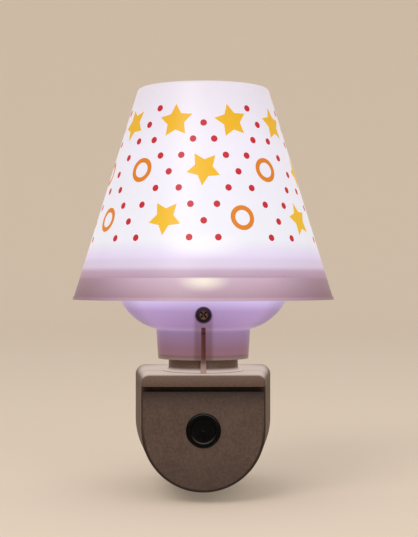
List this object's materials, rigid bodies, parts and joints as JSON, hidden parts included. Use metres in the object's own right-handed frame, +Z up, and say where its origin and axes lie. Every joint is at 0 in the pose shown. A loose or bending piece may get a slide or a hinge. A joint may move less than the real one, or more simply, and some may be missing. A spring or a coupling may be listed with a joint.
{
  "type": "night light",
  "caption": "Plug-in night light: lit conical shade on a round bowl and neck over a D-shaped plug base with a round push button.",
  "frame": {"origin": "midway between the plug pins, on the plug's contact face", "axes": "+X right seen from the front, +Y into the wall along the pins, +Z up along the shade"},
  "size_m": [0.0868, 0.1149, 0.1359],
  "materials": {
    "shade_plastic": "translucent satin plastic, lit from inside",
    "bowl_plastic": "translucent satin plastic, lit from inside",
    "housing_plastic": "fine matte moulded plastic",
    "plate_plastic": "grained matte moulded plastic",
    "button_plastic": "gloss black plastic",
    "dark_screw_steel": "blackened steel",
    "screw_steel": "zinc-plated steel",
    "pin_metal": "nickel-plated brass",
    "led_board_laminate": "white solder-masked laminate",
    "led_package": "clear package over a pale yellow phosphor",
    "board_laminate": "green solder-masked laminate",
    "switch_plastic": "moulded plastic",
    "plunger_plastic": "moulded plastic",
    "film_case": "moulded case",
    "can_sleeve": "shrink sleeve on an aluminium can",
    "component_black": "moulded epoxy",
    "resistor_body": "lacquered ceramic",
    "red_wire": "soft insulation",
    "black_wire": "soft insulation",
    "brown_wire": "soft insulation",
    "blue_wire": "soft insulation"
  },
  "bodies": {
    "lamp": {"bowl": "bowl_plastic", "bowl_screw": "dark_screw_steel", "neck_post": "housing_plastic", "led_board": "led_board_laminate", "leds": "led_package", "led_board_screws": "screw_steel", "led_lead_positive": "red_wire", "led_lead_negative": "black_wire", "front_shell": "housing_plastic", "rear_shell": "housing_plastic", "housing_screws": "screw_steel", "face_plate": "plate_plastic", "push_switch": "switch_plastic", "driver_board": "board_laminate", "board_screws": "screw_steel", "film_capacitor": "film_case", "electrolytic_capacitor": "can_sleeve", "rectifier": "component_black", "fuse_resistor": "resistor_body", "live_pin": "pin_metal", "neutral_pin": "pin_metal", "live_lead": "brown_wire", "neutral_lead": "blue_wire"},
    "shade": {"shade": "shade_plastic"},
    "button": {"power_button": "button_plastic", "switch_plunger": "plunger_plastic"}
  },
  "joints": [
    {"name": "button_press", "type": "slide", "parent": "lamp", "child": "button", "axis": [0, 1, 0], "range_m": [0, 0.0016], "stiffness_N_per_m": 800, "springref_m": -0.0006},
    {"name": "shade_lift", "type": "slide", "parent": "lamp", "child": "shade", "axis": [0, 0, 1], "range_m": [0, 0.06]}
  ]
}
